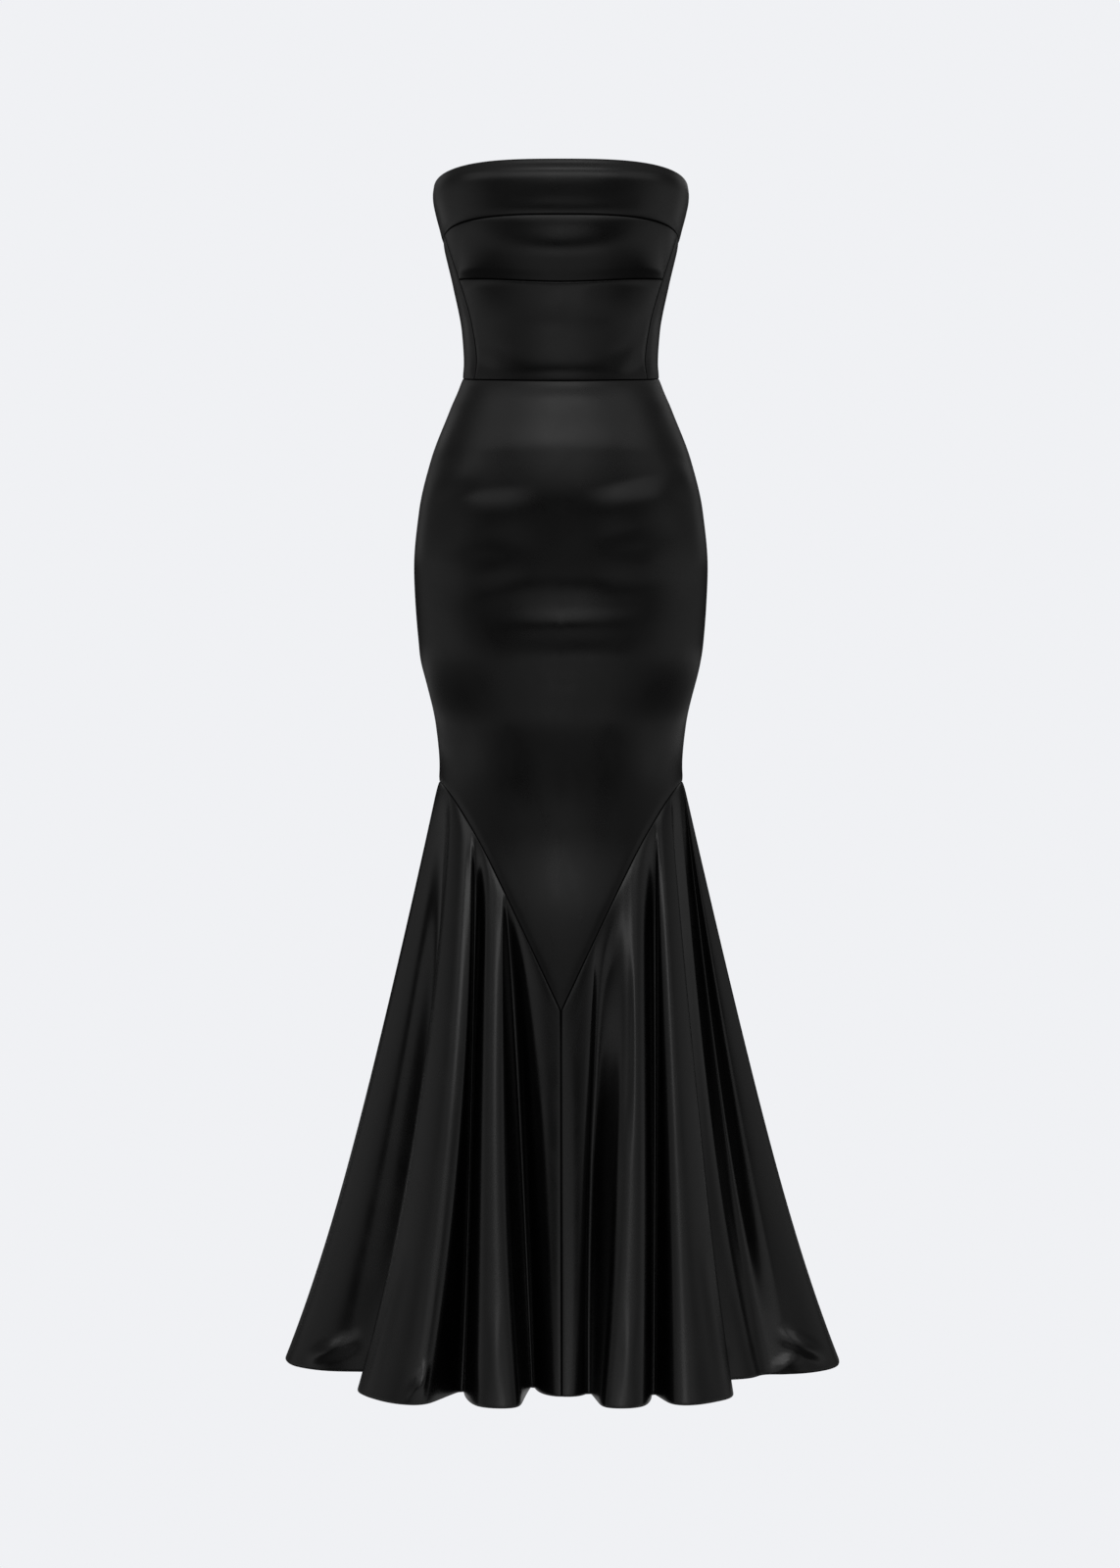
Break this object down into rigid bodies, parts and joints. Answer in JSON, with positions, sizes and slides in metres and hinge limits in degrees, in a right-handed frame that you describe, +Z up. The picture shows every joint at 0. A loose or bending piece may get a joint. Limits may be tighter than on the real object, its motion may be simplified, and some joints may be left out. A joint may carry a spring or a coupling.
{
  "type": "strapless mermaid gown",
  "caption": "Strapless floor-length gown with a banded bodice, a fitted skirt that ends in a V seam, and a flare that falls in deep folds.",
  "frame": {"origin": "middle of the hollow waist, level with the side ends of the waist seam", "axes": "+Z up the gown, -Y towards its front, +X towards the wearer's left"},
  "size_m": [0.621, 0.5365, 1.3204],
  "materials": {
    "satin": "black satin"
  },
  "bodies": {
    "root": {"band_front": "satin", "band_back_left": "satin", "band_back_right": "satin", "bodice_bust_front": "satin", "bodice_waist_front": "satin", "bodice_back_left": "satin", "bodice_back_right": "satin", "skirt_front": "satin", "skirt_back_left": "satin", "skirt_back_right": "satin", "flare_front_left": "satin", "flare_front_right": "satin", "flare_back_left": "satin", "flare_back_right": "satin"}
  },
  "joints": []
}
